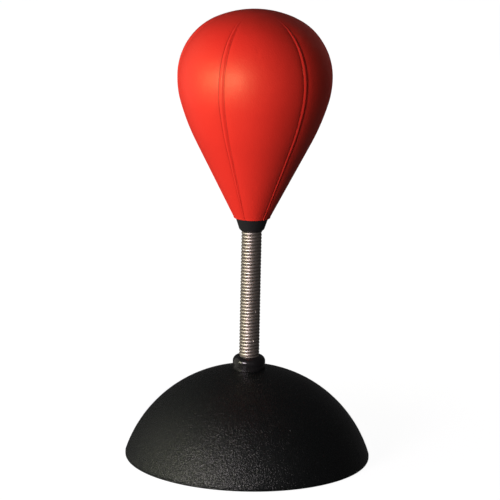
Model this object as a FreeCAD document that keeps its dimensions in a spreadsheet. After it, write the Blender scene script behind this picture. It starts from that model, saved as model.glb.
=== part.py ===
import FreeCAD, Part
import math
import os
import Sketcher

# Desk-top punching ball, in millimetres.  Z is up, the origin is on the desk under the centre of
# the base, and the middle of ball panel 1 faces -Y.
#
# The ball is stitched from six panels with a raised welt on each seam and holds an air bladder.
# It stands on a close-wound spring, and the spring stands in a collar on a hollow domed base
# with a suction cup inside.  The spring is built as nine short runs of coils, because each run
# leans by its own share of the bend.

doc = FreeCAD.newDocument("punching_ball")

DIMS = {
    # ball outline: a crown arc, a shoulder arc, a belly arc, a flank arc and a straight cone
    "ball_radius": 58.6, "widest_height": 299.4, "crown_height": 350.0,
    "shoulder_arc": 48.5, "belly_arc": 66.8, "belly_turn": 16.5,
    "flank_arc": 180.0, "cone_turn": 27.2, "mouth_radius": 13.4,
    "leather": 1.3, "welt_rise": 0.45, "welt_turn": 4.0, "welt_start": 3.0,
    # the front panel is cut a little wider than the other five, degrees round the ball
    "front_panel": 65.6,
    "slack": 0.15, "bladder_wall": 0.5,
    # air valve in the rear panel
    "valve_radius": 3.0, "valve_flange_radius": 6.0, "valve_flange": 1.2, "valve_depth": 11.0,
    "needle_radius": 0.7, "valve_room": 0.55,
    # plug in the mouth of the ball
    "plug_low": 190.9, "plug_shoulder": 203.0, "nipple_radius": 7.0, "nipple_top": 212.0,
    "ring_wire": 0.8, "ring_height": 208.0,
    "insert_radius": 4.5, "insert_length": 8.4,
    # cup under the ball
    "cup_low": 179.6, "cup_bevel": 181.0, "cup_top": 190.9, "cup_mouth": 8.35,
    "cup_waist": 9.7, "cup_rim": 13.0, "cup_web": 188.3,
    # spring
    "wire_radius": 1.25, "coil_radius": 6.5, "coil_pitch": 2.6, "first_coil": 73.5,
    "end_gap": 0.1,
    "bore_radius": 8.1, "peg_radius": 5.15, "peg_flange_radius": 7.7,
    "peg_low_flange": 70.3, "peg_low_top": 84.0, "peg_high_flange": 188.3, "peg_high_low": 174.0,
    # studs and nut, M6
    "stud_radius": 2.95, "tapped_radius": 3.0, "clear_radius": 3.3,
    "neck_stud_low": 178.0, "neck_stud_high": 198.0,
    "base_stud_low": 37.0, "base_stud_high": 81.5,
    "nut_flats": 10.0, "nut_height": 5.0, "washer_radius": 9.0, "washer_thick": 1.6,
    # collar on the crown of the base
    "collar_radius": 12.6, "collar_seat": 70.3, "collar_groove": 73.2, "collar_top": 80.5,
    "collar_lip": 9.0, "collar_shoulder": 4.6, "groove_width": 0.7, "groove_depth": 0.5,
    # domed base
    "dome_sphere": 100.1, "dome_top": 71.0, "dome_wall": 3.0, "rim_height": 2.4,
    "rim_round": 0.8, "boss_radius": 11.0, "boss_low": 56.0,
    "rib_thick": 2.0, "rib_reach": 48.0, "rib_low": 60.0,
    # suction cup
    "lip_radius": 74.0, "lip_height": 0.5, "lip_thick": 1.3, "sucker_roof": 30.0,
    "sucker_thick": 4.5, "sucker_neck": 10.0, "sucker_neck_top": 48.0,
    "cup_insert_radius": 5.0, "cup_insert_low": 36.0,
}

sheet = doc.addObject("Spreadsheet::Sheet", "Dims")
for row, (name, number) in enumerate(DIMS.items(), start=1):
    sheet.set("A%d" % row, name)
    sheet.set("B%d" % row, str(number))
    sheet.setAlias("B%d" % row, name)
doc.recompute()


class Size:
    """A length that knows its value and the spreadsheet expression behind it."""

    def __init__(self, value, text):
        self.value = value
        self.text = text

    def join(self, other, sign, value):
        return Size(value, "(%s %s %s)" % (self.text, sign, other.text))

    def __add__(self, other):
        other = as_size(other)
        return self.join(other, "+", self.value + other.value)

    def __sub__(self, other):
        other = as_size(other)
        return self.join(other, "-", self.value - other.value)

    def __mul__(self, other):
        other = as_size(other)
        return self.join(other, "*", self.value * other.value)


def as_size(thing):
    return thing if isinstance(thing, Size) else Size(float(thing), "%.6f" % thing)


def dim(name):
    return Size(DIMS[name], "Dims." + name)


ZERO = Size(0.0, "0")


# ---------------------------------------------------------------- sketch and feature helpers

def new_body(label, turn=0.0):
    body = doc.addObject("PartDesign::Body", label)
    body.Label = label
    body.Placement = FreeCAD.Placement(
        FreeCAD.Vector(0, 0, 0), FreeCAD.Rotation(FreeCAD.Vector(0, 0, 1), turn))
    return body


def origin_feature(body, role):
    for feature in body.Origin.OriginFeatures:
        if feature.Role == role:
            return feature


def new_sketch(body, role, lift=0.0):
    sketch = body.newObject("Sketcher::SketchObject", body.Label + "_sketch")
    sketch.AttachmentSupport = [(origin_feature(body, role), "")]
    sketch.MapMode = "FlatFace"
    if lift:
        sketch.AttachmentOffset = FreeCAD.Placement(
            FreeCAD.Vector(0, 0, lift), FreeCAD.Rotation())
    return sketch


def bind(sketch, kind, where, size):
    index = sketch.addConstraint(Sketcher.Constraint(kind, *where, size.value))
    sketch.setExpression("Constraints[%d]" % index, size.text)


def pin_point(sketch, geometry, end, point):
    across, up = point
    if abs(across.value) < 1e-9:
        sketch.addConstraint(Sketcher.Constraint("PointOnObject", geometry, end, -2))
    else:
        bind(sketch, "DistanceX", (-1, 1, geometry, end), across)
    if abs(up.value) < 1e-9:
        sketch.addConstraint(Sketcher.Constraint("PointOnObject", geometry, end, -1))
    else:
        bind(sketch, "DistanceY", (-1, 1, geometry, end), up)


def outline(sketch, stations):
    """Closed outline.  A station is (across, up) for a straight run to the next station, or
    (across, up, radius) for an arc to it; a positive radius bulges to the left of the walk."""
    count = len(stations)
    for i, station in enumerate(stations):
        after = stations[(i + 1) % count]
        a = FreeCAD.Vector(station[0].value, station[1].value, 0)
        b = FreeCAD.Vector(after[0].value, after[1].value, 0)
        if len(station) == 2:
            sketch.addGeometry(Part.LineSegment(a, b), False)
            continue
        radius = station[2]
        chord = b - a
        left = FreeCAD.Vector(-chord.y, chord.x, 0).normalize()
        reach = abs(radius.value)
        drop = reach - math.sqrt(reach ** 2 - (chord.Length / 2) ** 2)
        side = 1 if radius.value > 0 else -1
        middle = (a + b) * 0.5 + left * (side * drop)
        sketch.addGeometry(Part.Arc(a, middle, b), False)
    ends = []
    for i, station in enumerate(stations):
        # an arc that turns clockwise is stored the other way round
        clockwise = len(station) == 3 and station[2].value > 0
        ends.append((2, 1) if clockwise else (1, 2))
    for i in range(count):
        j = (i + 1) % count
        sketch.addConstraint(Sketcher.Constraint("Coincident", i, ends[i][1], j, ends[j][0]))
        pin_point(sketch, i, ends[i][0], stations[i][:2])
    for i, station in enumerate(stations):
        if len(station) == 3:
            radius = station[2]
            if radius.value < 0:
                radius = radius * -1
            bind(sketch, "Radius", (i,), radius)


def circle(sketch, radius, across=ZERO, up=ZERO):
    geometry = sketch.addGeometry(
        Part.Circle(FreeCAD.Vector(across.value, up.value, 0), FreeCAD.Vector(0, 0, 1),
                    radius.value), False)
    pin_point(sketch, geometry, 3, (across, up))
    bind(sketch, "Radius", (geometry,), radius)


def revolve(body, stations, angle=None, kind="PartDesign::Revolution"):
    sketch = new_sketch(body, "XZ_Plane")
    outline(sketch, stations)
    feature = body.newObject(kind, body.Label + "_turned")
    feature.Profile = sketch
    feature.ReferenceAxis = (sketch, ["V_Axis"])
    if angle is None:
        feature.Angle = 360.0
    else:
        feature.Midplane = True
        feature.Angle = angle.value
        feature.setExpression("Angle", angle.text)
    doc.recompute()
    return feature


finished = []


def keep(body):
    finished.append(body)


# ---------------------------------------------------------------- ball outline

def ball_stations():
    """Joints of the outline with their outward normals, from the crown to the mouth."""
    wide, height = DIMS["ball_radius"], DIMS["widest_height"]
    shoulder, rise = DIMS["shoulder_arc"], DIMS["crown_height"] - height
    inset = wide - shoulder
    crown = (inset ** 2 + rise ** 2 - shoulder ** 2) / (2 * (rise - shoulder))
    lean = math.atan2(inset, crown - rise)
    points = [(0.0, DIMS["crown_height"], 0.0, 1.0)]
    points.append((crown * math.sin(lean), DIMS["crown_height"] - crown * (1 - math.cos(lean)),
                   math.sin(lean), math.cos(lean)))
    points.append((wide, height, 1.0, 0.0))
    turn, reach = math.radians(DIMS["belly_turn"]), DIMS["belly_arc"]
    across = wide - reach * (1 - math.cos(turn))
    up = height - reach * math.sin(turn)
    points.append((across, up, math.cos(turn), -math.sin(turn)))
    last, reach = math.radians(DIMS["cone_turn"]), DIMS["flank_arc"]
    across -= reach * (math.cos(turn) - math.cos(last))
    up -= reach * (math.sin(last) - math.sin(turn))
    points.append((across, up, math.cos(last), -math.sin(last)))
    drop = (across - DIMS["mouth_radius"]) / math.tan(last)
    points.append((DIMS["mouth_radius"], up - drop, math.cos(last), -math.sin(last)))
    return crown, points


CROWN_ARC, STATIONS = ball_stations()
MOUTH_HEIGHT = STATIONS[-1][1]
extra_row = len(DIMS) + 1
for i, station in enumerate(STATIONS):
    for word, number in zip(("across", "up", "normal_across", "normal_up"), station):
        name = "joint%s_%s" % ("abcdef"[i], word)
        DIMS[name] = number
        sheet.set("A%d" % extra_row, name)
        sheet.set("B%d" % extra_row, "%.9f" % number)
        sheet.setAlias("B%d" % extra_row, name)
        extra_row += 1
for name, number in (("crown_arc", CROWN_ARC),
                     ("sucker_arc", (DIMS["lip_radius"] ** 2 + DIMS["sucker_roof"] ** 2)
                      / (2 * DIMS["sucker_roof"]))):
    DIMS[name] = number
    sheet.set("A%d" % extra_row, name)
    sheet.set("B%d" % extra_row, "%.9f" % number)
    sheet.setAlias("B%d" % extra_row, name)
    extra_row += 1
doc.recompute()


def ball_joint(letter, depth):
    name = "joint%s_" % letter
    return (dim(name + "across") - depth * dim(name + "normal_across"),
            dim(name + "up") - depth * dim(name + "normal_up"))


def cone_radius(depth, height):
    """Radius of the straight cone, sunk by a depth, at a height."""
    lean = math.radians(DIMS["cone_turn"])
    return (DIMS["mouth_radius"] + (height - MOUTH_HEIGHT) * math.tan(lean)
            - depth / math.cos(lean))


def ball_line(depth, low):
    """Outline from the crown down to a height on the cone, sunk by a depth."""
    line = [ball_joint("a", depth) + (dim("crown_arc") - depth,),
            ball_joint("b", depth) + (dim("shoulder_arc") - depth,),
            ball_joint("c", depth) + (dim("belly_arc") - depth,),
            ball_joint("d", depth) + (dim("flank_arc") - depth,),
            ball_joint("e", depth)]
    line.append((as_size(cone_radius(depth.value, low.value)), low))
    return line


def turned_back(line):
    """The same outline walked upwards, with its arcs bulging the other way."""
    back = []
    for i in range(len(line) - 1, -1, -1):
        point = line[i][:2]
        if i > 0 and len(line[i - 1]) == 3:
            point = point + (line[i - 1][2] * -1,)
        back.append(point)
    return back


# ---------------------------------------------------------------- ball: six panels, six welts

mouth_low = as_size(MOUTH_HEIGHT)
outer = ball_line(ZERO, mouth_low)
inner = ball_line(dim("leather"), mouth_low)
front_turn = dim("front_panel")
side_turn = as_size(72) - front_turn * 0.2


def seam_azimuth(number):
    """Where the seam after a panel lies, in degrees from +X."""
    return front_turn.value / 2 - 90.0 + side_turn.value * (number - 1)


for number in range(1, 7):
    turn = front_turn if number == 1 else side_turn
    body = new_body("ball_panel_%d" % number, seam_azimuth(number) - turn.value / 2)
    revolve(body, outer + turned_back(inner), turn - dim("welt_turn"))
    keep(body)

# The rear panel has the hole for the air valve.
rear_panel = finished[3]
sketch = new_sketch(rear_panel, "YZ_Plane")
circle(sketch, dim("valve_radius") + 0.05, ZERO, dim("widest_height"))
before = rear_panel.Shape.Volume
pocket = rear_panel.newObject("PartDesign::Pocket", "valve_hole")
pocket.Profile = sketch
pocket.Type = 1
pocket.Midplane = True
doc.recompute()
if not rear_panel.Shape.Volume < before:
    raise RuntimeError("the valve hole was not cut")

welt_outer = ball_line(ZERO - dim("welt_rise"), mouth_low)
welt_inner = ball_line(dim("leather"), mouth_low)


def welt_profile():
    """The welt starts a little way down from the crown, where the six seams meet."""
    start = DIMS["welt_start"]

    def top_of(depth):
        reach = CROWN_ARC - depth
        return DIMS["crown_height"] - CROWN_ARC + math.sqrt(reach ** 2 - start ** 2)

    first = (dim("welt_start"), as_size(top_of(-DIMS["welt_rise"])), welt_outer[0][2])
    last = (dim("welt_start"), as_size(top_of(DIMS["leather"])))
    return [first] + welt_outer[1:] + turned_back(welt_inner)[:-1] + [last]


for number in range(1, 7):
    body = new_body("seam_welt_%d" % number, seam_azimuth(number))
    revolve(body, welt_profile(), dim("welt_turn") - 0.2)
    keep(body)

# ---------------------------------------------------------------- bladder, valve, mouth plug

skin_depth = dim("leather") + dim("slack")
bladder_depth = skin_depth + dim("bladder_wall")
neck_inside = dim("nipple_radius") + 0.05
neck_outside = neck_inside + dim("bladder_wall")
bladder_turn = dim("nipple_top") + 5.0
bladder_neck = dim("nipple_top") + 1.4
bladder_hem = dim("plug_shoulder") + 1.0
bladder = new_body("bladder", 90.0)
revolve(bladder, ball_line(skin_depth, bladder_turn)
        + [(neck_outside, bladder_neck), (neck_outside, bladder_hem),
           (neck_inside, bladder_hem), (neck_inside, bladder_neck + 0.5)]
        + turned_back(ball_line(bladder_depth, bladder_turn + 0.6)))
sketch = new_sketch(bladder, "YZ_Plane")
circle(sketch, dim("valve_radius") + 0.05, ZERO, dim("widest_height"))
before = bladder.Shape.Volume
pocket = bladder.newObject("PartDesign::Pocket", "bladder_valve_hole")
pocket.Profile = sketch
pocket.Type = 1
pocket.Reversed = True
doc.recompute()
if not bladder.Shape.Volume < before:
    raise RuntimeError("the bladder's valve hole was not cut")
keep(bladder)

# The valve is a rubber button with a needle passage, lying along +Y.
valve = new_body("air_valve", 0.0)
face = dim("ball_radius") - 0.3
neck = dim("ball_radius") - bladder_depth - dim("valve_room")
sketch = new_sketch(valve, "XY_Plane", DIMS["widest_height"])
outline(sketch, [
    (dim("needle_radius"), face), (dim("valve_radius"), face), (dim("valve_radius"), neck),
    (dim("valve_flange_radius"), neck),
    (dim("valve_flange_radius"), neck - dim("valve_flange")),
    (dim("valve_radius"), neck - dim("valve_flange")),
    (dim("valve_radius"), face - dim("valve_depth")),
    (dim("needle_radius"), face - dim("valve_depth"))])
feature = valve.newObject("PartDesign::Revolution", "air_valve_turned")
feature.Profile = sketch
feature.ReferenceAxis = (sketch, ["V_Axis"])
feature.Angle = 360.0
doc.recompute()
keep(valve)

plug_depth = dim("leather") + 0.1
plug = new_body("mouth_plug")
shoulder_radius = as_size(cone_radius(plug_depth.value, DIMS["plug_shoulder"]))
foot_radius = as_size(cone_radius(plug_depth.value, MOUTH_HEIGHT))
pocket_radius = dim("insert_radius") + 0.05
insert_top = dim("plug_low") + dim("insert_length")
revolve(plug, [
    (pocket_radius, dim("plug_low")), (foot_radius, dim("plug_low")),
    (foot_radius, mouth_low),
    (shoulder_radius, dim("plug_shoulder")), (dim("nipple_radius"), dim("plug_shoulder")),
    (dim("nipple_radius"), dim("nipple_top") + 1.0), (ZERO, dim("nipple_top") + 1.0),
    (ZERO, insert_top + 0.2), (pocket_radius, insert_top + 0.2)])
keep(plug)

insert = new_body("mouth_insert")
revolve(insert, [
    (dim("tapped_radius"), dim("plug_low")), (dim("insert_radius"), dim("plug_low")),
    (dim("insert_radius"), dim("plug_low") + 3.4),
    (dim("insert_radius") - 0.5, dim("plug_low") + 3.4),
    (dim("insert_radius") - 0.5, dim("plug_low") + 4.6),
    (dim("insert_radius"), dim("plug_low") + 4.6), (dim("insert_radius"), insert_top),
    (dim("tapped_radius"), insert_top)])
keep(insert)

ring = new_body("clamp_ring")
sketch = new_sketch(ring, "XZ_Plane")
circle(sketch, dim("ring_wire"), neck_outside + dim("ring_wire") + 0.02, dim("ring_height"))
feature = ring.newObject("PartDesign::Revolution", "clamp_ring_turned")
feature.Profile = sketch
feature.ReferenceAxis = (sketch, ["V_Axis"])
feature.Angle = 360.0
doc.recompute()
keep(ring)

# ---------------------------------------------------------------- neck: cup, peg and stud

cup = new_body("neck_cup")
revolve(cup, [
    (dim("clear_radius"), dim("cup_web")), (dim("bore_radius"), dim("cup_web")),
    (dim("bore_radius"), dim("cup_low")), (dim("cup_mouth"), dim("cup_low")),
    (dim("cup_waist"), dim("cup_bevel")), (dim("cup_rim"), dim("cup_top")),
    (dim("clear_radius"), dim("cup_top"))])
keep(cup)

high_flange_low = dim("peg_high_flange") - 1.9
peg = new_body("spring_peg_upper")
revolve(peg, [
    (ZERO, dim("peg_high_low")), (dim("peg_radius") - 0.8, dim("peg_high_low")),
    (dim("peg_radius"), dim("peg_high_low") + 0.8), (dim("peg_radius"), high_flange_low),
    (dim("peg_flange_radius"), high_flange_low),
    (dim("peg_flange_radius"), dim("peg_high_flange")),
    (dim("tapped_radius"), dim("peg_high_flange")),
    (dim("tapped_radius"), dim("neck_stud_low") - 0.5), (ZERO, dim("neck_stud_low") - 0.5)])
keep(peg)


def stud(label, low, high):
    """Plain rod with bevelled ends; the thread is left off."""
    body = new_body(label)
    revolve(body, [
        (ZERO, low), (dim("stud_radius") - 0.5, low), (dim("stud_radius"), low + 0.5),
        (dim("stud_radius"), high - 0.5), (dim("stud_radius") - 0.5, high), (ZERO, high)])
    keep(body)


stud("neck_stud", dim("neck_stud_low"), dim("neck_stud_high"))

# ---------------------------------------------------------------- spring: nine runs of coils

# Each joint leans by its own share of the bend, and the gap at it is the room the wire needs.
TURNS = (5, 4, 4, 4, 4, 4, 5, 5, 5)
LEANS = (12.0, 12.0, 9.0, 9.0, 6.0, 6.0, 3.0, 3.0)
GAPS = tuple(DIMS["coil_radius"] * math.sin(math.radians(lean)) + 0.1 for lean in LEANS)

start = DIMS["first_coil"]
hinge_heights = []
for number, turns in enumerate(TURNS, start=1):
    body = new_body("spring_coils_%d" % number, 90.0)
    sketch = new_sketch(body, "XZ_Plane")
    circle(sketch, dim("wire_radius"), dim("coil_radius"), as_size(start))
    coil = body.newObject("PartDesign::AdditiveHelix", body.Label + "_wire")
    coil.Profile = sketch
    coil.ReferenceAxis = (sketch, ["V_Axis"])
    coil.Mode = 1
    coil.Pitch = DIMS["coil_pitch"]
    coil.setExpression("Pitch", "Dims.coil_pitch")
    coil.Turns = turns - DIMS["end_gap"]
    coil.setExpression("Turns", "%d - Dims.end_gap" % turns)
    doc.recompute()
    keep(body)
    start += turns * DIMS["coil_pitch"]
    if number <= len(GAPS):
        hinge_heights.append(start + GAPS[number - 1] / 2)
        start += GAPS[number - 1]
print("hinge heights", [round(value, 3) for value in hinge_heights])
print("last coil", round(start, 3))

# ---------------------------------------------------------------- foot: peg, collar, fasteners

peg_low_seat = dim("peg_low_flange") + 1.9
peg = new_body("spring_peg_lower")
revolve(peg, [
    (dim("tapped_radius"), dim("peg_low_flange")),
    (dim("peg_flange_radius"), dim("peg_low_flange")),
    (dim("peg_flange_radius"), peg_low_seat), (dim("peg_radius"), peg_low_seat),
    (dim("peg_radius"), dim("peg_low_top") - 0.8),
    (dim("peg_radius") - 0.8, dim("peg_low_top")), (ZERO, dim("peg_low_top")),
    (ZERO, dim("base_stud_high") + 0.5), (dim("tapped_radius"), dim("base_stud_high") + 0.5)])
keep(peg)

shoulder_rise = math.sqrt(DIMS["collar_shoulder"] ** 2 - (
    DIMS["collar_shoulder"] - DIMS["collar_radius"] + DIMS["collar_lip"]) ** 2)
collar = new_body("base_collar")
revolve(collar, [
    (dim("bore_radius"), dim("collar_seat")), (dim("collar_radius"), dim("collar_seat")),
    (dim("collar_radius"), dim("collar_groove") - 0.5),
    (dim("collar_radius") - 0.5, dim("collar_groove")),
    (dim("collar_radius") - dim("groove_depth"), dim("collar_groove") + dim("groove_width")),
    (dim("collar_radius"), dim("collar_groove") + dim("groove_width") + 0.5),
    (dim("collar_radius"), dim("collar_top") - shoulder_rise, dim("collar_shoulder") * -1),
    (dim("collar_lip"), dim("collar_top")),
    (dim("bore_radius") + 0.3, dim("collar_top")), (dim("bore_radius"), dim("collar_top") - 0.3)])
keep(collar)

stud("base_stud", dim("base_stud_low"), dim("base_stud_high"))

washer = new_body("boss_washer")
revolve(washer, [
    (dim("clear_radius"), dim("boss_low") - dim("washer_thick")),
    (dim("washer_radius"), dim("boss_low") - dim("washer_thick")),
    (dim("washer_radius"), dim("boss_low")), (dim("clear_radius"), dim("boss_low"))])
keep(washer)

nut_top = DIMS["boss_low"] - DIMS["washer_thick"]
nut = new_body("boss_nut")
sketch = new_sketch(nut, "XY_Plane", nut_top - DIMS["nut_height"])
corner = DIMS["nut_flats"] / math.sqrt(3)
hexagon = [FreeCAD.Vector(corner * math.cos(math.radians(60 * k)),
                          corner * math.sin(math.radians(60 * k)), 0) for k in range(6)]
for k in range(6):
    sketch.addGeometry(Part.LineSegment(hexagon[k], hexagon[(k + 1) % 6]), False)
for k in range(6):
    sketch.addConstraint(Sketcher.Constraint("Coincident", k, 2, (k + 1) % 6, 1))
circle(sketch, dim("tapped_radius"))
pad = nut.newObject("PartDesign::Pad", "boss_nut_pad")
pad.Profile = sketch
pad.Length = DIMS["nut_height"]
pad.setExpression("Length", "Dims.nut_height")
doc.recompute()
keep(nut)

# ---------------------------------------------------------------- domed base

DOME_CENTRE = DIMS["dome_top"] - DIMS["dome_sphere"]


def sphere_radius(reach, height):
    return math.sqrt(reach ** 2 - (height - DOME_CENTRE) ** 2)


def sphere_height(reach, radius):
    return DOME_CENTRE + math.sqrt(reach ** 2 - radius ** 2)


inside = DIMS["dome_sphere"] - DIMS["dome_wall"]
seat_radius = DIMS["collar_radius"] + 0.3
rim = as_size(sphere_radius(DIMS["dome_sphere"], DIMS["rim_height"]))
rim_inside = as_size(sphere_radius(inside, DIMS["rim_height"]))
boss_top = as_size(sphere_height(inside, DIMS["boss_radius"]))
dome = new_body("dome_shell")
revolve(dome, [
    (dim("clear_radius"), dim("collar_seat")), (as_size(seat_radius), dim("collar_seat")),
    (as_size(seat_radius), as_size(sphere_height(DIMS["dome_sphere"], seat_radius)),
     dim("dome_sphere")),
    (rim, dim("rim_height")), (rim, dim("rim_round")),
    (rim - dim("rim_round") * 0.3, dim("rim_round") * 0.3),
    (rim - dim("rim_round"), ZERO), (rim_inside, ZERO),
    (rim_inside, dim("rim_height"), as_size(-inside)),
    (dim("boss_radius"), boss_top), (dim("boss_radius"), dim("boss_low")),
    (dim("clear_radius"), dim("boss_low"))])

rib = new_sketch(dome, "XZ_Plane")
rib_in = DIMS["boss_radius"] - 1.0
mid_wall = DIMS["dome_sphere"] - DIMS["dome_wall"] / 2
rib_top_in = as_size(sphere_height(mid_wall, rib_in))
rib_top_out = as_size(sphere_height(mid_wall, DIMS["rib_reach"]))
outline(rib, [
    (as_size(rib_in), dim("rib_low")), (as_size(rib_in), rib_top_in, as_size(mid_wall)),
    (dim("rib_reach"), rib_top_out), (dim("rib_reach"), rib_top_out - 3.5)])
rib_pad = dome.newObject("PartDesign::Pad", "rib")
rib_pad.Profile = rib
rib_pad.Midplane = True
rib_pad.Length = DIMS["rib_thick"]
rib_pad.setExpression("Length", "Dims.rib_thick")
doc.recompute()
pattern = dome.newObject("PartDesign::PolarPattern", "ribs")
pattern.Originals = [rib_pad]
pattern.Axis = (origin_feature(dome, "Z_Axis"), [""])
pattern.Angle = 360.0
pattern.Occurrences = 8
dome.Tip = pattern
doc.recompute()
keep(dome)

# ---------------------------------------------------------------- suction cup

lip_top = dim("lip_height") + dim("lip_thick")
neck_foot_height = (DIMS["lip_height"] + DIMS["sucker_roof"] - DIMS["sucker_arc"]
                    + math.sqrt((DIMS["sucker_arc"] + DIMS["sucker_thick"]) ** 2
                                - DIMS["sucker_neck"] ** 2))
hole = dim("cup_insert_radius") + 0.05
sucker = new_body("suction_cup")
revolve(sucker, [
    (ZERO, dim("lip_height") + dim("sucker_roof"), dim("sucker_arc")),
    (dim("lip_radius"), dim("lip_height")), (dim("lip_radius"), lip_top,
                                             (dim("sucker_arc") + 3.2) * -1),
    (dim("sucker_neck"), as_size(neck_foot_height)),
    (dim("sucker_neck"), dim("sucker_neck_top")), (hole, dim("sucker_neck_top")),
    (hole, dim("cup_insert_low") - 0.1), (ZERO, dim("cup_insert_low") - 0.1)])
keep(sucker)

insert = new_body("cup_insert")
revolve(insert, [
    (ZERO, dim("cup_insert_low")), (dim("cup_insert_radius"), dim("cup_insert_low")),
    (dim("cup_insert_radius"), dim("sucker_neck_top")),
    (dim("tapped_radius"), dim("sucker_neck_top")),
    (dim("tapped_radius"), dim("base_stud_low") - 0.4), (ZERO, dim("base_stud_low") - 0.4)])
keep(insert)

# ---------------------------------------------------------------- check and export

doc.recompute()
for thing in doc.Objects:
    if "Invalid" in thing.State or "Error" in thing.State:
        raise RuntimeError("%s did not build: %s" % (thing.Label, thing.State))
os.makedirs("parts", exist_ok=True)
for body in finished:
    shape = body.Shape
    if shape.isNull() or not shape.isValid():
        raise RuntimeError(body.Label + " has no valid shape")
    box = shape.BoundBox
    print("%-18s %9.1f mm3 %d solid  x %.2f %.2f  y %.2f %.2f  z %.2f %.2f" % (
        body.Label, shape.Volume, len(shape.Solids), box.XMin, box.XMax, box.YMin, box.YMax,
        box.ZMin, box.ZMax))
    shape.exportStep("parts/%s.step" % body.Label)
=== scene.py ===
import bpy
import math
import numpy as np
from mathutils import Matrix, Vector


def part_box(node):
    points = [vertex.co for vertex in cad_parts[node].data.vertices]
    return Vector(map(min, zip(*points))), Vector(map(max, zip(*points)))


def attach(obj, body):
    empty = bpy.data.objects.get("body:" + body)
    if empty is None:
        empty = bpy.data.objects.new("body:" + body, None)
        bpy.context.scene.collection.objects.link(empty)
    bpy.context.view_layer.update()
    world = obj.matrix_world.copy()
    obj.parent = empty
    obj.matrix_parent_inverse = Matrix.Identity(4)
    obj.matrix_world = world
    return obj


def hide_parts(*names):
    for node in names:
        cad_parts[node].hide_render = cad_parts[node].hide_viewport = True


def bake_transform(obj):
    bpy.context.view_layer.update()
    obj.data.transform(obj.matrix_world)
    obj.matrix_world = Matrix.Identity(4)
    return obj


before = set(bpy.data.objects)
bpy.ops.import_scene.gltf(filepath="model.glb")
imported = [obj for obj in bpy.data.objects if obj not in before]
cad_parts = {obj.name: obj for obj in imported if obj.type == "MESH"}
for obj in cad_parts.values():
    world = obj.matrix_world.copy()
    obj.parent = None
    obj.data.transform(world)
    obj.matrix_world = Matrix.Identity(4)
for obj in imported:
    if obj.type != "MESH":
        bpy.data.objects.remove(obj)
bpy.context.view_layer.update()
scene = bpy.context.scene
MM = 0.001


# ------------------------------------------------------------------ mesh helpers

def new_mesh(name, points, faces):
    """A smooth-shaded mesh object in the scene."""
    mesh = bpy.data.meshes.new(name)
    mesh.from_pydata([tuple(p) for p in points], [], faces)
    mesh.update()
    piece = bpy.data.objects.new(name, mesh)
    scene.collection.objects.link(piece)
    mesh.polygons.foreach_set("use_smooth", [True] * len(mesh.polygons))
    return piece


def grid_faces(rows, columns, wrap=False, flip=False):
    """Quads over points laid out row by row; wrap joins the last column to the first."""
    faces = []
    for i in range(rows - 1):
        for j in range(columns if wrap else columns - 1):
            k = (j + 1) % columns
            face = (i * columns + j, i * columns + k, (i + 1) * columns + k,
                    (i + 1) * columns + j)
            faces.append(face[::-1] if flip else face)
    return faces


def smooth_line(stations, step):
    """Points along an outline given in millimetres.  A station is (across, up) for a straight run
    or (across, up, radius) for an arc to the next station, bulging left when positive."""
    line = []
    for i, station in enumerate(stations[:-1]):
        a, b = Vector(station[:2]), Vector(stations[i + 1][:2])
        chord = b - a
        if len(station) == 2:
            count = max(1, int(round(chord.length / step)))
            line += [a + chord * (k / count) for k in range(count)]
            continue
        reach, side = abs(station[2]), 1 if station[2] > 0 else -1
        left = Vector((-chord.y, chord.x)).normalized() * side
        centre = (a + b) / 2 - left * math.sqrt(max(reach ** 2 - chord.length_squared / 4, 0))
        turn = 2 * math.asin(min(1, chord.length / 2 / reach))
        count = max(2, int(round(turn * reach / step)))
        start = a - centre
        for k in range(count):
            angle = -side * turn * k / count
            c, s = math.cos(angle), math.sin(angle)
            line.append(centre + Vector((start.x * c - start.y * s, start.x * s + start.y * c)))
    line.append(Vector(stations[-1][:2]))
    return line


# ------------------------------------------------------------------ node helpers

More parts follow.
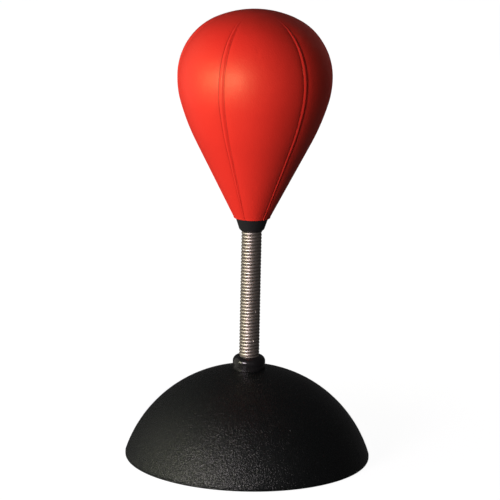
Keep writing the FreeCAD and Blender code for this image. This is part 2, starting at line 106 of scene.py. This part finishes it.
class Nodes:
    """Short way to write a material's node tree."""

    def __init__(self, name):
        self.material = bpy.data.materials.new(name)
        self.material.use_nodes = True
        self.tree = self.material.node_tree
        self.shader = self.tree.nodes["Principled BSDF"]
        coords = self.tree.nodes.new("ShaderNodeTexCoord")
        self.object = coords.outputs["Object"]
        self.uv = coords.outputs["UV"]

    def add(self, kind, inputs=(), **settings):
        node = self.tree.nodes.new(kind)
        for key, value in settings.items():
            setattr(node, key, value)
        for key, value in dict(inputs).items():
            if isinstance(value, bpy.types.NodeSocket):
                self.tree.links.new(value, node.inputs[key])
            else:
                node.inputs[key].default_value = value
        return node

    def noise(self, scale, detail=3.0, rough=0.5, vector=None):
        node = self.add("ShaderNodeTexNoise", {
            "Vector": vector or self.object, "Scale": scale, "Detail": detail,
            "Roughness": rough})
        return node.outputs["Fac"]

    def cells(self, scale, feature="F1"):
        node = self.add("ShaderNodeTexVoronoi", {"Vector": self.object, "Scale": scale},
                        feature=feature)
        return node.outputs["Distance"]

    def ramp(self, value, low, high, to_low, to_high):
        node = self.add("ShaderNodeMapRange", {"Value": value, "From Min": low, "From Max": high,
                                               "To Min": to_low, "To Max": to_high})
        return node.outputs["Result"]

    def mix_colour(self, factor, a, b):
        node = self.add("ShaderNodeMix", data_type="RGBA")
        self.tree.links.new(factor, node.inputs["Factor"])
        for socket, colour in ((node.inputs[6], a), (node.inputs[7], b)):
            if isinstance(colour, bpy.types.NodeSocket):
                self.tree.links.new(colour, socket)
            else:
                socket.default_value = (*colour, 1)
        return node.outputs[2]

    def bump(self, height, strength, distance, under=None):
        inputs = {"Height": height, "Strength": strength, "Distance": distance}
        if under is not None:
            inputs["Normal"] = under
        return self.add("ShaderNodeBump", inputs).outputs["Normal"]

    def set(self, **sockets):
        for key, value in sockets.items():
            socket = self.shader.inputs[key.replace("_", " ")]
            if isinstance(value, bpy.types.NodeSocket):
                self.tree.links.new(value, socket)
            else:
                socket.default_value = value
        return self.material


def leather(name, colour, dark):
    """Pebbled cover leather, with painted shade darkening it beside its seams."""
    n = Nodes(name)
    # painted shade beside the seams, read from a value stored on the panel meshes
    painted_seam_shade = n.add("ShaderNodeAttribute", {}, attribute_name="painted_seam_shade").outputs["Fac"]
    tone = n.noise(22, 4)
    grain = n.cells(900)
    creases = n.cells(640, "DISTANCE_TO_EDGE")
    fine = n.noise(2600, 2)
    pores = n.ramp(creases, 0.0, 0.10, 0.0, 1.0)
    blotch = n.ramp(tone, 0.3, 0.7, 0.0, 1.0)
    normal = n.bump(grain, 0.30, 0.00020)
    normal = n.bump(pores, 0.25, 0.00012, normal)
    normal = n.bump(n.noise(130, 3), 0.25, 0.0005, normal)
    skin = n.mix_colour(blotch, dark, colour)
    # painted shade: near the seams the base colour is mixed towards this dark red
    return n.set(Base_Color=n.mix_colour(painted_seam_shade, skin, (0.38, 0.012, 0.010)),
                 Roughness=n.ramp(fine, 0.3, 0.7, 0.40, 0.52), Specular_IOR_Level=0.48,
                 Specular_Tint=(1.0, 0.92, 0.38, 1.0), Normal=normal)


def plastic(name, colour, rough, grain_scale, grain_depth, spread=0.06):
    """Moulded plastic or rubber with a light, even grain."""
    n = Nodes(name)
    blotch = n.noise(35, 4)
    grain = n.noise(grain_scale, 3, 0.6)
    light = tuple(c * 1.25 for c in colour)
    return n.set(Base_Color=n.mix_colour(blotch, colour, light),
                 Roughness=n.ramp(grain, 0.3, 0.7, rough - spread, rough + spread),
                 Normal=n.bump(grain, 0.5, grain_depth))


def grained_plastic(name):
    """Black moulding with a spark-eroded grain, as on the base."""
    n = Nodes(name)
    coarse, fine = n.noise(900, 1, 0.5), n.noise(2000, 2, 0.5)
    pits = n.cells(1250)
    normal = n.bump(coarse, 0.9, 0.0008)
    normal = n.bump(fine, 0.4, 0.0003, normal)
    normal = n.bump(pits, 0.50, 0.0003, normal)
    return n.set(Base_Color=n.mix_colour(n.noise(40, 4), (0.0045, 0.0055, 0.0055),
                                         (0.0065, 0.0078, 0.0076)),
                 Roughness=n.ramp(fine, 0.3, 0.7, 0.22, 0.34), Specular_IOR_Level=0.34,
                 Specular_Tint=(0.95, 1.0, 0.92, 1.0), Normal=normal)


def metal(name, colour, rough, streaks=(1, 1, 1)):
    """Turned or plated metal; streaks stretches its fine lines along an axis."""
    n = Nodes(name)
    stretch = n.add("ShaderNodeMapping", {"Vector": n.object, "Scale": streaks})
    lines = n.noise(900, 3, 0.6, stretch.outputs["Vector"])
    dull = tuple(c * 0.82 for c in colour)
    return n.set(Base_Color=n.mix_colour(n.noise(160, 3), dull, colour), Metallic=1.0,
                 Roughness=n.ramp(lines, 0.3, 0.7, rough - 0.05, rough + 0.07),
                 Normal=n.bump(lines, 0.12, 0.00003))


def wire_metal(name):
    """Drawn spring wire, with die lines along its length."""
    n = Nodes(name)
    stretch = n.add("ShaderNodeMapping", {"Vector": n.uv, "Scale": (6, 70, 1)})
    drawn = n.noise(9, 3, 0.6, stretch.outputs["Vector"])
    patches = n.noise(240, 4)
    return n.set(Base_Color=n.mix_colour(patches, (0.48, 0.44, 0.385), (0.55, 0.51, 0.45)),
                 Metallic=1.0, Roughness=n.ramp(drawn, 0.3, 0.7, 0.42, 0.50),
                 Normal=n.bump(drawn, 0.15, 0.00002))


RED = leather("red_leather", (0.78, 0.030, 0.020), (0.75, 0.027, 0.018))
WELT = leather("red_welt", (0.77, 0.029, 0.020), (0.74, 0.026, 0.018))
DOME = grained_plastic("grained_plastic")
CUP = plastic("cup_plastic", (0.011, 0.011, 0.011), 0.42, 1400, 0.00008)
COLLAR = plastic("collar_plastic", (0.008, 0.008, 0.008), 0.20, 1100, 0.00003, 0.04)
INNER = plastic("inner_plastic", (0.05, 0.05, 0.05), 0.55, 1000, 0.0001)
RUBBER = plastic("moulded_rubber", (0.022, 0.022, 0.022), 0.46, 500, 0.00006)
BLADDER = plastic("bladder_rubber", (0.10, 0.085, 0.08), 0.60, 400, 0.00008)
WIRE = wire_metal("spring_wire")
STEEL = metal("zinc_steel", (0.60, 0.60, 0.60), 0.32)
BRASS = metal("turned_brass", (0.78, 0.58, 0.26), 0.28, (1, 1, 8))


def paint(piece, material):
    piece.data.materials.clear()
    piece.data.materials.append(material)


# ------------------------------------------------------------------ ball cover

# All in millimetres: the front panel's box gives the ball's top, widest radius and mouth.
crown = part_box("ball_panel_1")[1].z / MM
wide = -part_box("ball_panel_1")[0].y / MM
mouth_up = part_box("ball_panel_1")[0].z / MM
WIDE_UP = 299.4                                   # height of the widest place
SHOULDER, BELLY, FLANK = 48.5, 66.8, 180.0        # arcs above it, below it and down the flank
BELLY_TURN, CONE_TURN = math.radians(16.5), math.radians(27.2)
MOUTH, LIP = 13.4, 1.0                            # radius of the mouth, and its short skirt
WELT_TURN = math.radians(4.0)
LEATHER = 1.25                                    # how far the raw edges turn in
FRONT_TURN = math.radians(65.6)                   # the front panel is wider than the rest
SIDE_TURN = (2 * math.pi - FRONT_TURN) / 5


def ball_outline():
    """The pear shape from the crown to the mouth: four tangent arcs, a cone and a short lip."""
    inset, rise = wide - SHOULDER, crown - WIDE_UP
    arc = (inset ** 2 + rise ** 2 - SHOULDER ** 2) / (2 * (rise - SHOULDER))
    lean = math.atan2(inset, arc - rise)
    stations = [(0, crown, arc),
                (arc * math.sin(lean), crown - arc * (1 - math.cos(lean)), SHOULDER),
                (wide, WIDE_UP, BELLY)]
    across = wide - BELLY * (1 - math.cos(BELLY_TURN))
    up = WIDE_UP - BELLY * math.sin(BELLY_TURN)
    stations.append((across, up, FLANK))
    across -= FLANK * (math.cos(BELLY_TURN) - math.cos(CONE_TURN))
    up -= FLANK * (math.sin(CONE_TURN) - math.sin(BELLY_TURN))
    stations += [(across, up), (MOUTH, mouth_up), (MOUTH, mouth_up - LIP)]
    return stations


OUTLINE = smooth_line(ball_outline(), 0.8)
OUTLINE[0] = Vector((0.03, OUTLINE[0].y))         # the panels' tips meet at the crown
OUT = np.array([(p.x, p.y) for p in OUTLINE])
TANGENT = np.gradient(OUT, axis=0)
TANGENT /= np.linalg.norm(TANGENT, axis=1)[:, None]
NORMAL = np.stack([-TANGENT[:, 1], TANGENT[:, 0]], 1)    # left of the walk is outwards
LENGTH = np.concatenate([[0], np.cumsum(np.linalg.norm(np.diff(OUT, axis=0), axis=1))])


def shell_point(i, angle, lift):
    """Point over outline station i at an azimuth, lifted off the outline by millimetres."""
    radius = OUT[i, 0] + NORMAL[i, 0] * lift
    up = OUT[i, 1] + NORMAL[i, 1] * lift
    return (radius * math.cos(angle) * MM, radius * math.sin(angle) * MM, up * MM)


def proud(i):
    """How far the skin stands off the outline: more towards the mouth, where it is gathered."""
    t = min(1.0, max(0.0, (WIDE_UP - OUT[i, 1]) / (WIDE_UP - mouth_up)))
    return 0.25 + 0.55 * t


def seam_azimuth(number):
    """Where the seam after a panel lies, from +X."""
    return FRONT_TURN / 2 - math.pi / 2 + SIDE_TURN * (number - 1)


def relief(i):
    """0 at the crown, where the seams melt into the skin, and 1 away from it."""
    t = min(1.0, max(0.0, (OUT[i, 0] - 20) / 30))
    if OUT[i, 1] < WIDE_UP:
        return 1.0 - 0.45 * (WIDE_UP - OUT[i, 1]) / (WIDE_UP - mouth_up + LIP)
    return t * t * (3 - 2 * t)


def cover_panel(number):
    """One stitched panel: crowned across, with soft edges that roll down into the seams."""
    turn = FRONT_TURN if number == 1 else SIDE_TURN
    middle = seam_azimuth(number) - turn / 2
    half = turn / 2 - WELT_TURN / 2
    # closer columns beside the seams, where the edge rolls over
    beside = np.array([0, .004, .010, .018, .028, .042, .060, .085, .12, .16])
    shares = np.concatenate([-1 + beside, np.linspace(-0.8, 0.8, 23), 1 - beside[::-1]])
    rows = []
    for i in range(len(OUT)):
        radius = OUT[i, 0]
        for share in shares:
            edge = (1 - abs(share)) * half * radius      # millimetres from the panel's edge
            side = 1 if share > 0 else -1
            pucker = math.sin(LENGTH[i] / 5.2 + number * 1.7 + side) * math.exp(-edge / 3.5)
            dip = 0.42 * math.exp(-edge / 2.2) + 0.06 * math.exp(-edge / 0.35)
            lift = 0.38 * math.cos(share * math.pi / 2) * min(1.0, radius / 40)
            rows.append(shell_point(i, middle + share * half,
                                    (lift - dip + 0.04 * pucker) * relief(i)
                                    - 0.04 * (1 - relief(i)) + proud(i)))
    columns = len(shares)
    count = len(OUT)
    faces = grid_faces(count, columns, flip=True)
    # the raw edges: a wall turned inwards all round, as thick as the leather
    rim = list(range(columns))
    rim += [i * columns + columns - 1 for i in range(1, count)]
    rim += [(count - 1) * columns + j for j in range(columns - 2, -1, -1)]
    rim += [i * columns for i in range(count - 2, 0, -1)]
    points = list(rows)
    base = len(points)
    for k in rim:
        i, j = divmod(k, columns)
        points.append(shell_point(i, middle + shares[j] * half, -LEATHER))
    for k in range(len(rim)):
        m = (k + 1) % len(rim)
        faces.append((rim[k], rim[m], base + m, base + k))
    piece = new_mesh("cover_panel_%d" % number, points, faces)
    # painted shade beside the seams: 1 at the panel's raw edge, falling off within about 0.6 mm,
    # weaker towards the crown and the mouth
    painted_seam_shade = piece.data.attributes.new("painted_seam_shade", "FLOAT", "POINT")
    for k in range(len(points)):
        i, j = divmod(k if k < base else rim[k - base], columns)
        edge = (1 - abs(shares[j])) * half * OUT[i, 0]
        painted_seam_shade.data[k].value = math.exp(-(edge / 0.6) ** 2) * relief(i) ** 2
    paint(piece, RED)
    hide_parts("ball_panel_%d" % number)
    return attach(piece, "ball")


def cover_welt(number):
    """The raised strip on a seam: a low rounded ridge that melts away at the crown."""
    middle = seam_azimuth(number)
    half = WELT_TURN / 2 - math.radians(0.03)
    shares = np.sin(np.linspace(-math.pi / 2, math.pi / 2, 17))
    points, count = [], 0
    for i in range(len(OUT)):
        if OUT[i, 0] < 2.6:
            continue
        count += 1
        for share in shares:
            stitch = 0.02 * math.sin(LENGTH[i] * 2 * math.pi / 3.2) * share ** 2
            ridge = -0.42 + 0.60 * math.cos(share * math.pi / 2) ** 1.6 + stitch
            points.append(shell_point(i, middle + share * half, ridge * relief(i)
                                      - 0.04 * (1 - relief(i)) + proud(i)))
        # the sides of the strip, turned down between the panels
        points.append(shell_point(i, middle + half, -1.2))
        points.append(shell_point(i, middle - half, -1.2))
    piece = new_mesh("cover_welt_%d" % number, points,
                     grid_faces(count, len(shares) + 2, wrap=True, flip=True))
    paint(piece, WELT)
    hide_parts("seam_welt_%d" % number)
    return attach(piece, "ball")


for number in range(1, 7):
    cover_panel(number)
    cover_welt(number)

# ------------------------------------------------------------------ spring

CAD_WIRE, CAD_PITCH = 1.25, 2.6                   # the CAD wire's radius and pitch
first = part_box("spring_coils_1")[0].z / MM + CAD_WIRE
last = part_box("spring_coils_9")[1].z / MM - CAD_WIRE
COIL, WIRE_RADIUS = 6.56, 1.29
TURNS = round((last - first) / CAD_PITCH)


def spring_run(name, low, high):
    """A stretch of the wire between two heights of its centre line."""
    around, per_turn = 20, 72
    pitch = (last - first) / TURNS
    a, b = (low - first) / pitch, (high - first) / pitch
    steps = max(2, int(round((b - a) * per_turn)))
    points, coords = [], []
    slope = math.atan2(pitch, 2 * math.pi * COIL)
    for k in range(steps + 1):
        turn = a + (b - a) * k / steps
        angle = math.radians(90) + 2 * math.pi * turn
        out = Vector((math.cos(angle), math.sin(angle), 0))
        along = Vector((-math.sin(angle) * math.cos(slope), math.cos(angle) * math.cos(slope),
                        math.sin(slope)))
        up = out.cross(along)
        centre = out * COIL + Vector((0, 0, first + pitch * turn))
        for j in range(around):
            t = 2 * math.pi * j / around
            points.append((centre + out * (WIRE_RADIUS * math.cos(t))
                           + up * (WIRE_RADIUS * math.sin(t))) * MM)
            coords.append((turn * 2 * math.pi * COIL / 40, j / around))
    faces = grid_faces(steps + 1, around, wrap=True, flip=True)
    faces.append(tuple(range(around)))
    faces.append(tuple(range(steps * around + around - 1, steps * around - 1, -1)))
    piece = new_mesh(name, points, faces)
    layer = piece.data.uv_layers.new(name="wire")
    for loop in piece.data.loops:
        layer.data[loop.index].uv = coords[loop.vertex_index]
    paint(piece, WIRE)
    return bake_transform(piece)


runs = [(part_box("spring_coils_%d" % k)[0].z / MM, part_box("spring_coils_%d" % k)[1].z / MM)
        for k in range(1, 10)]
middles = [(low + high) / 2 for low, high in runs]
collar_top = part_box("base_collar")[1].z / MM
cup_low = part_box("neck_cup")[0].z / MM
middles[0], middles[8] = collar_top + 1.0, cup_low - 1.5
for k in range(8):
    low = first if k == 0 else middles[k]
    high = last if k == 7 else middles[k + 1]
    piece = spring_run("spring_wire_%d" % (k + 1), low, high)
    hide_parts("spring_coils_%d" % (k + 1))
    if k == 7:
        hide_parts("spring_coils_9")

# ------------------------------------------------------------------ CAD pieces that stay

for node, material in (
        ("dome_shell", DOME), ("base_collar", COLLAR), ("neck_cup", CUP),
        ("suction_cup", RUBBER), ("air_valve", RUBBER), ("bladder", BLADDER),
        ("mouth_plug", INNER), ("mouth_insert", BRASS), ("cup_insert", BRASS),
        ("clamp_ring", STEEL), ("spring_peg_upper", STEEL), ("spring_peg_lower", STEEL),
        ("neck_stud", STEEL), ("base_stud", STEEL), ("boss_washer", STEEL),
        ("boss_nut", STEEL)):
    paint(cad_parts[node], material)

# ------------------------------------------------------------------ stage, lights and camera


LIGHT_TARGET = (0, 0, 0.2)                        # every light points here
FLOOR_UP, FLOOR_REACH, FLOOR_CURVE = -0.4, 4600, 900       # millimetres
WALL_UP, SWEEP_SIDES = 6500, 72


def studio_sweep():
    """Pale floor that curves up into a wall all the way round."""
    line = [Vector((r, FLOOR_UP)) for r in (0, 400, 1200, 2600, FLOOR_REACH)]
    line += [Vector((FLOOR_REACH + FLOOR_CURVE * math.sin(a),
                     FLOOR_CURVE * (1 - math.cos(a)) + FLOOR_UP))
             for a in np.radians(np.arange(6, 91, 6))]
    wall = FLOOR_REACH + FLOOR_CURVE
    line += [Vector((wall, 3000)), Vector((wall, WALL_UP)), Vector((0, WALL_UP))]
    points = []
    for p in line:
        for j in range(SWEEP_SIDES):
            a = 2 * math.pi * j / SWEEP_SIDES
            points.append((p.x * math.cos(a) * MM, p.x * math.sin(a) * MM, p.y * MM))
    sweep = new_mesh("studio_sweep", points, grid_faces(len(line), SWEEP_SIDES, wrap=True))
    n = Nodes("studio_paper")
    paper = n.noise(3, 2)
    away = n.add("ShaderNodeVectorMath", {0: n.object}, operation="LENGTH").outputs["Value"]
    n.set(Base_Color=n.mix_colour(paper, (0.16, 0.16, 0.16), (0.18, 0.18, 0.18)),
          Roughness=0.9, Specular_IOR_Level=0.0,
          Emission_Color=(1, 1, 1, 1), Emission_Strength=n.ramp(away, 0.15, 0.8, 0.95, 1.0))
    paint(sweep, n.material)
    sweep.visible_diffuse = False
    sweep.visible_glossy = False
    sweep.visible_shadow = False


def soft_light(name, azimuth, elevation, distance, width, height, power, colour=(1, 1, 1)):
    """Area light on a sphere round the object; azimuth 0 is the -Y side, 90 the +X side."""
    light = bpy.data.lights.new(name, "AREA")
    light.shape = "RECTANGLE"
    light.size, light.size_y = width, height
    light.energy = power
    light.color = colour
    lamp = bpy.data.objects.new(name, light)
    a, e = math.radians(azimuth), math.radians(elevation)
    away = Vector((math.sin(a) * math.cos(e), -math.cos(a) * math.cos(e), math.sin(e)))
    lamp.location = Vector(LIGHT_TARGET) + away * distance
    lamp.rotation_mode = "QUATERNION"
    lamp.rotation_quaternion = (-away).to_track_quat("-Z", "Y")
    lamp.visible_camera = False
    scene.collection.objects.link(lamp)
    return lamp


studio_sweep()
soft_light("key", -72, 4, 1.4, 0.50, 0.45, 7.8, (1.0, 0.98, 0.74))
soft_light("front_fill", -41, 8, 1.6, 0.6, 0.5, 23.0, (1.0, 0.87, 0.96))
soft_light("left_card", -112, 6, 1.3, 1.4, 1.5, 3.2, (1.0, 0.98, 0.86))
back_fill = soft_light("back_fill", 140, 15, 1.8, 1.2, 1.2, 6.5)
back_fill.visible_glossy = False                  # lifts the far side without a glare
soft_light("front_card", 5, 8, 1.9, 1.5, 1.5, 0.8, (1.0, 0.90, 1.0))

world = bpy.data.worlds.new("studio")
scene.world = world
world.use_nodes = True
background = world.node_tree.nodes["Background"]
background.inputs["Color"].default_value = (1, 0.97, 1, 1)
background.inputs["Strength"].default_value = 0.045
scene.view_settings.view_transform = "Standard"

CAMERA_AZIMUTH, CAMERA_HEIGHT, CAMERA_REACH = math.radians(-7.8), 0.665, 2.1440
AIM_UP, AIM_ACROSS, ROLL = 0.16405, -0.0010, math.radians(1.2)
camera_data = bpy.data.cameras.new("camera")
camera_data.sensor_width = 36
camera_data.lens = 36 * 2.2 / 0.768 / 0.5
camera_data.clip_end = 50
camera = bpy.data.objects.new("camera", camera_data)
scene.collection.objects.link(camera)
right = Vector((math.cos(CAMERA_AZIMUTH), math.sin(CAMERA_AZIMUTH), 0))
camera.location = Vector((math.sin(CAMERA_AZIMUTH) * CAMERA_REACH,
                          -math.cos(CAMERA_AZIMUTH) * CAMERA_REACH, CAMERA_HEIGHT))
aim = Vector((0, 0, AIM_UP)) + right * AIM_ACROSS
look = (aim - camera.location).to_track_quat("-Z", "Y").to_matrix()
camera.rotation_euler = (look @ Matrix.Rotation(ROLL, 3, "Z")).to_euler()
scene.camera = camera
